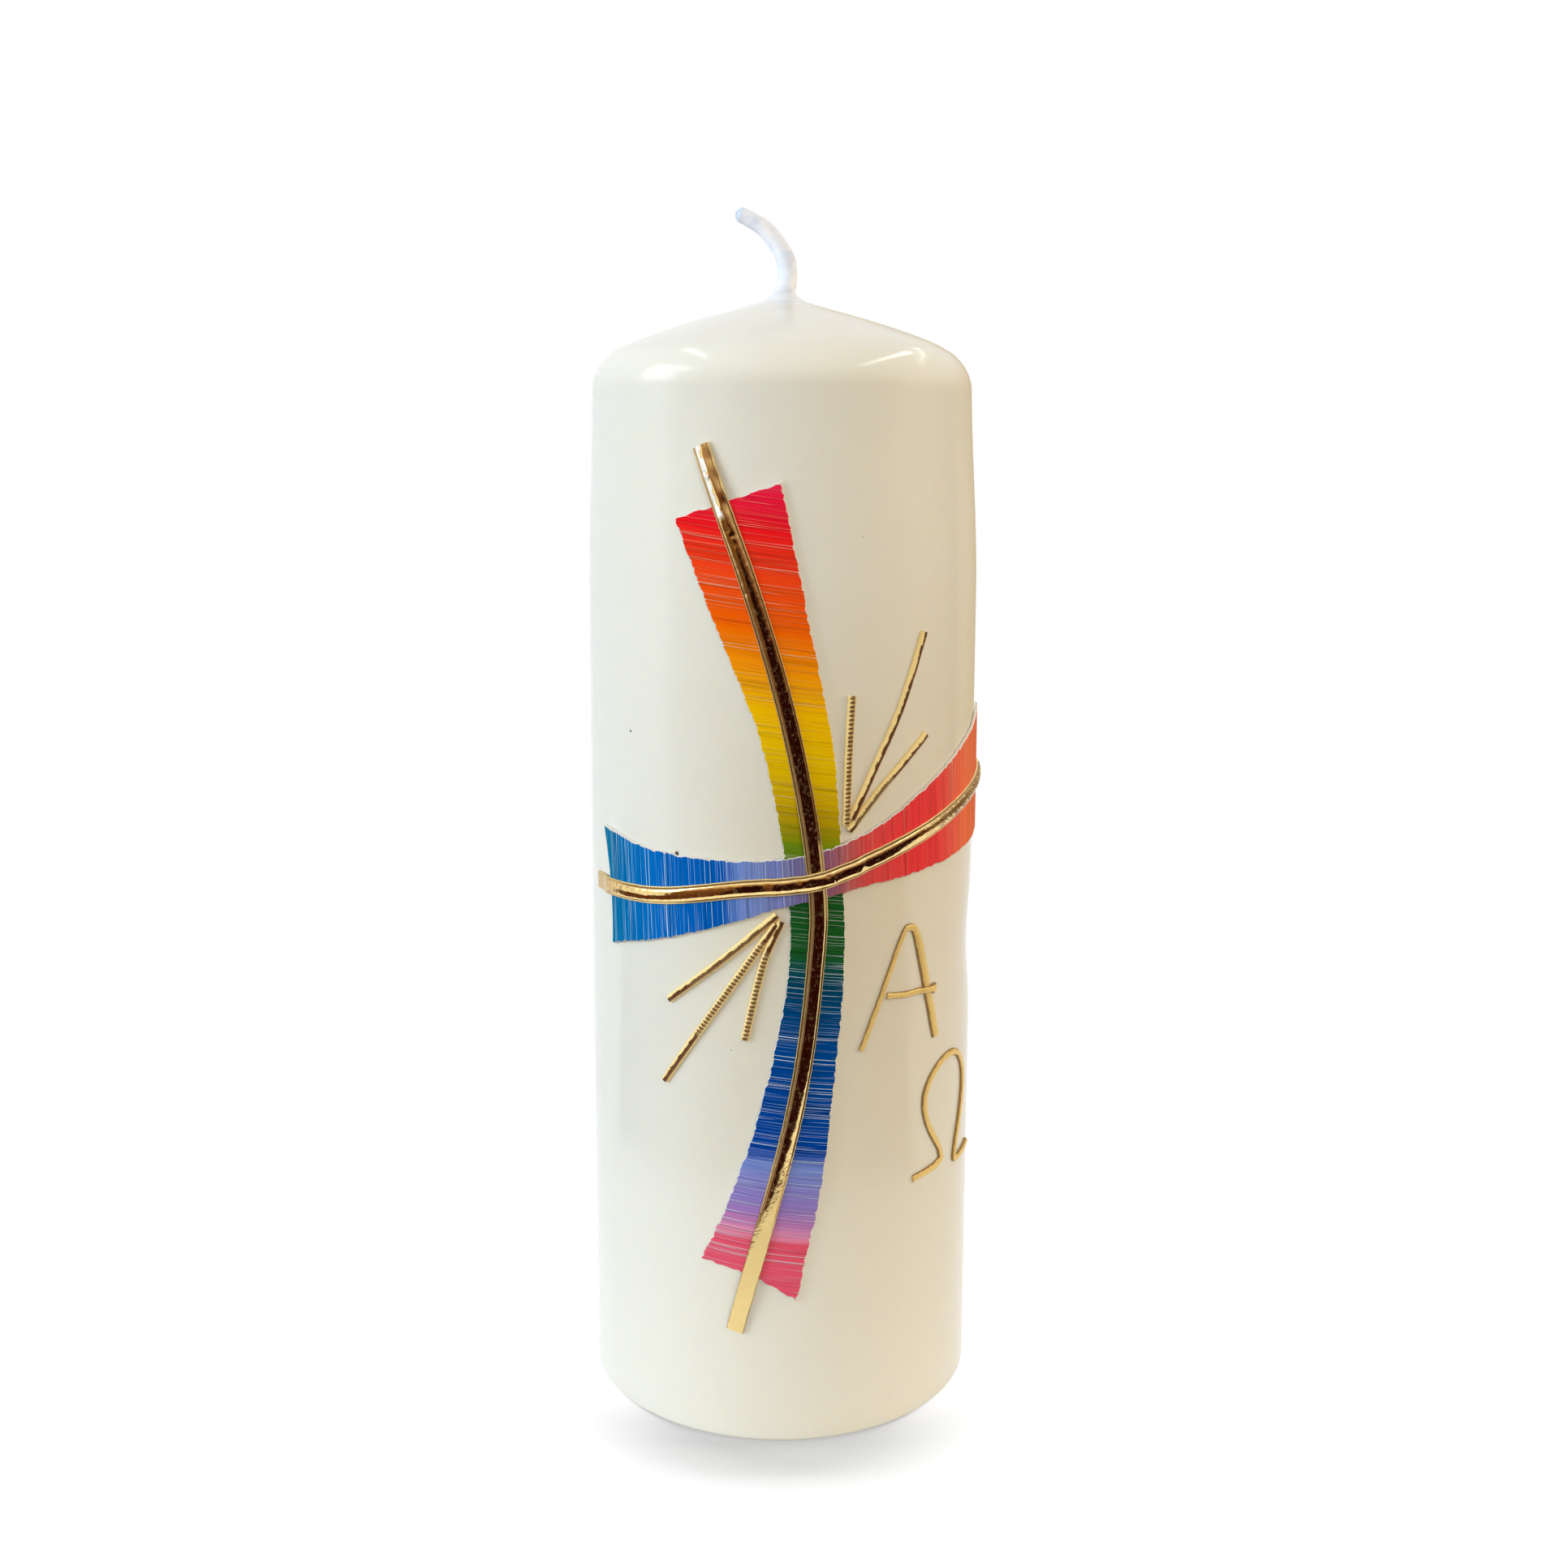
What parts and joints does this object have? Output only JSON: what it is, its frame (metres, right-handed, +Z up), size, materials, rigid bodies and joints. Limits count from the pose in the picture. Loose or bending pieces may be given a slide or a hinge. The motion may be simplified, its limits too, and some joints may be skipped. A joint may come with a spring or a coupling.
{
  "type": "cross motif candle",
  "caption": "Ivory dipped pillar candle with a low cone top and bent wick, a rainbow wax cross with gold strips, gold rays and the gold letters alpha and omega.",
  "frame": {"origin": "centre of the flat base, on the candle's axis, at the cut end of the wick", "axes": "+Z up along the candle's axis; -Y is the front, where the two gold strips cross; +X is to the right seen from the front"},
  "size_m": [0.071, 0.073, 0.2135],
  "materials": {
    "pressed_wax": "matte pressed wax granules",
    "dipped_wax": "smooth ivory dipped wax, soft sheen",
    "tinplate": "pressed tinplate",
    "wick_cotton": "braided cotton, primed with wax",
    "upright_sheet_wax": "streaked rainbow wax sheet, red to pink",
    "crossbar_sheet_wax": "streaked rainbow wax sheet, teal to coral",
    "gold_strip_wax": "mirror gold film on half-round wax strip",
    "gold_ray_wax": "ribbed gold film on narrow wax strip",
    "gold_letter_wax": "satin gold film on narrow wax strip"
  },
  "bodies": {
    "root": {"pressed_core": "pressed_wax", "dipped_coat": "dipped_wax", "wick_tab": "tinplate", "wick": "wick_cotton", "upright_band": "upright_sheet_wax", "crossbar_band": "crossbar_sheet_wax", "upright_strip": "gold_strip_wax", "crossbar_strip": "gold_strip_wax", "ray_top_1": "gold_ray_wax", "ray_top_2": "gold_ray_wax", "ray_top_3": "gold_ray_wax", "ray_bottom_1": "gold_ray_wax", "ray_bottom_2": "gold_ray_wax", "ray_bottom_3": "gold_ray_wax", "alpha_arch": "gold_letter_wax", "alpha_bar": "gold_letter_wax", "omega_strip": "gold_letter_wax"}
  },
  "joints": []
}
